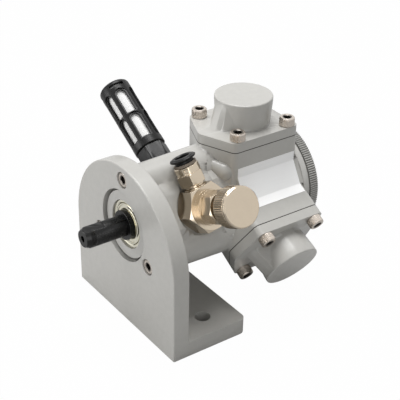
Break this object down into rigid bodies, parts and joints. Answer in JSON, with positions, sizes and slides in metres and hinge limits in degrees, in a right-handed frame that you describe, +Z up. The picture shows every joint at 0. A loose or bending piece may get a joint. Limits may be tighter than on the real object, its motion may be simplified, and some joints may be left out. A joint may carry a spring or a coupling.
{
  "type": "piston air motor",
  "caption": "Foot-mounted radial piston air motor with a plain output shaft, throttle valve with push-in tube fitting, and exhaust silencer.",
  "frame": {"origin": "midway between the two foot holes, on the underside of the foot", "axes": "+Z up, -Y along the output shaft towards its free end, +X to the right seen from the shaft end"},
  "size_m": [0.1429, 0.1382, 0.1197],
  "materials": {
    "casting_paint": "satin",
    "cover_paint": "satin",
    "plated_screw": "bright nickel plate",
    "gasket": "fibre gasket",
    "steel": "ground steel",
    "aluminium": "turned",
    "seal_rubber": "nitrile rubber",
    "bronze": "plain bearing bronze",
    "blackened_steel": "black oxide",
    "bearing_steel": "ground bearing steel",
    "nickel_brass": "nickel-plated brass",
    "fitting_plastic": "black acetal",
    "silencer_plastic": "black moulded plastic",
    "silencer_felt": "white porous element",
    "nameplate": "satin silver plate"
  },
  "bodies": {
    "housing": {"mounting_bracket": "casting_paint", "bracket_screws": "plated_screw", "crankcase": "casting_paint", "head_gasket_top": "gasket", "cylinder_head_top": "casting_paint", "head_screws_top": "plated_screw", "cylinder_liner_top": "steel", "head_gasket_right": "gasket", "cylinder_head_right": "casting_paint", "head_screws_right": "plated_screw", "cylinder_liner_right": "steel", "head_gasket_left": "gasket", "cylinder_head_left": "casting_paint", "head_screws_left": "plated_screw", "cylinder_liner_left": "steel", "front_bearing_outer_ring": "bearing_steel", "front_bearing_shields": "bearing_steel", "rear_bearing_outer_ring": "bearing_steel", "rear_bearing_shields": "bearing_steel", "shaft_seal": "seal_rubber", "valve_sleeve": "bronze", "rear_cover": "cover_paint", "cover_o_ring": "seal_rubber", "throttle_body": "nickel_brass", "throttle_bonnet": "nickel_brass", "fitting_body": "nickel_brass", "fitting_rim": "fitting_plastic", "silencer_cage": "silencer_plastic", "silencer_element": "silencer_felt", "nameplate": "nameplate"},
    "crankshaft": {"crankshaft": "blackened_steel", "shaft_collar": "blackened_steel", "rotary_valve": "steel", "front_bearing_inner_ring": "bearing_steel", "rear_bearing_inner_ring": "bearing_steel"},
    "rods": {"crank_pin_bush": "bronze", "rod_retaining_ring_front": "steel", "rod_retaining_ring_rear": "steel", "connecting_rod_top": "steel", "connecting_rod_right": "steel", "connecting_rod_left": "steel"},
    "piston_top": {"piston_top": "aluminium", "piston_seal_top": "seal_rubber"},
    "piston_right": {"piston_right": "aluminium", "piston_seal_right": "seal_rubber"},
    "piston_left": {"piston_left": "aluminium", "piston_seal_left": "seal_rubber"},
    "throttle_needle": {"throttle_needle": "nickel_brass"},
    "throttle_knob": {"throttle_knob": "nickel_brass"},
    "fitting_release_collar": {"fitting_release_collar": "fitting_plastic"}
  },
  "joints": [
    {"name": "crankshaft_turn", "type": "hinge", "parent": "housing", "child": "crankshaft", "pos_m": [0, -0.0295, 0.0615], "axis": [0, -1, 0], "continuous": true},
    {"name": "rods_on_crank_pin", "type": "hinge", "parent": "crankshaft", "child": "rods", "pos_m": [0, 0.0508, 0.065], "axis": [0, -1, 0], "continuous": true},
    {"name": "piston_top_slide", "type": "slide", "parent": "housing", "child": "piston_top", "axis": [0, 0, 1], "range_m": [-0.007, 0]},
    {"name": "piston_right_slide", "type": "slide", "parent": "housing", "child": "piston_right", "axis": [0.866, 0, -0.5], "range_m": [-0.00175, 0.00525]},
    {"name": "piston_left_slide", "type": "slide", "parent": "housing", "child": "piston_left", "axis": [-0.866, 0, -0.5], "range_m": [-0.00175, 0.00525]},
    {"name": "needle_slide", "type": "slide", "parent": "housing", "child": "throttle_needle", "axis": [0.8988, 0, 0.4384], "range_m": [-0.0025, 0.0035]},
    {"name": "knob_turn", "type": "hinge", "parent": "throttle_needle", "child": "throttle_knob", "pos_m": [0.05393, 0.006, 0.0878], "axis": [0.8988, 0, 0.4384], "range_deg": [-910, 1270]},
    {"name": "collar_press", "type": "slide", "parent": "housing", "child": "fitting_release_collar", "axis": [-0.4303, -0.1908, 0.8823], "range_m": [-0.001, 0], "stiffness_N_per_m": 300}
  ],
  "couplings": [
    {"joint": "rods_on_crank_pin", "follows": "crankshaft_turn", "ratio": -1},
    {"joint": "knob_turn", "follows": "needle_slide", "rad_per_m": 6283.2}
  ]
}
